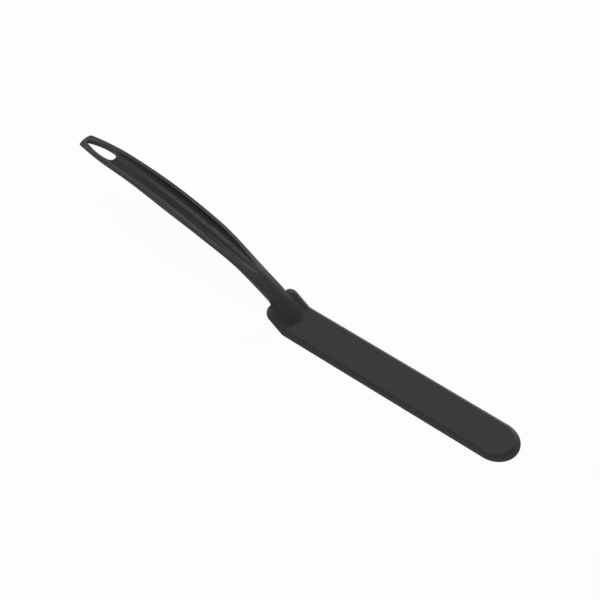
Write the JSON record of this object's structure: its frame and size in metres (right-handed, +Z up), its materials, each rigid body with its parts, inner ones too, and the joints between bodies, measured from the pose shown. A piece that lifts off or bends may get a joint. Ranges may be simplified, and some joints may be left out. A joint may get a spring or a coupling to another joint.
{
  "type": "kitchen spatula",
  "caption": "Narrow kitchen spatula with a long flat round-tipped blade, a turned-up heel and an arched handle with a scooped, grained grip and a hanging slot.",
  "frame": {"origin": "middle of the blade's flat underside, halfway from the bend to the tip", "axes": "+X along the blade towards its tip, +Y across the blade, +Z up from the surface that the blade lies on"},
  "size_m": [0.335, 0.028, 0.058],
  "materials": {
    "nylon": "satin",
    "soft_grip": "fine grain"
  },
  "bodies": {
    "root": {"blade": "nylon", "handle": "nylon", "grip_insert": "soft_grip"}
  },
  "joints": []
}
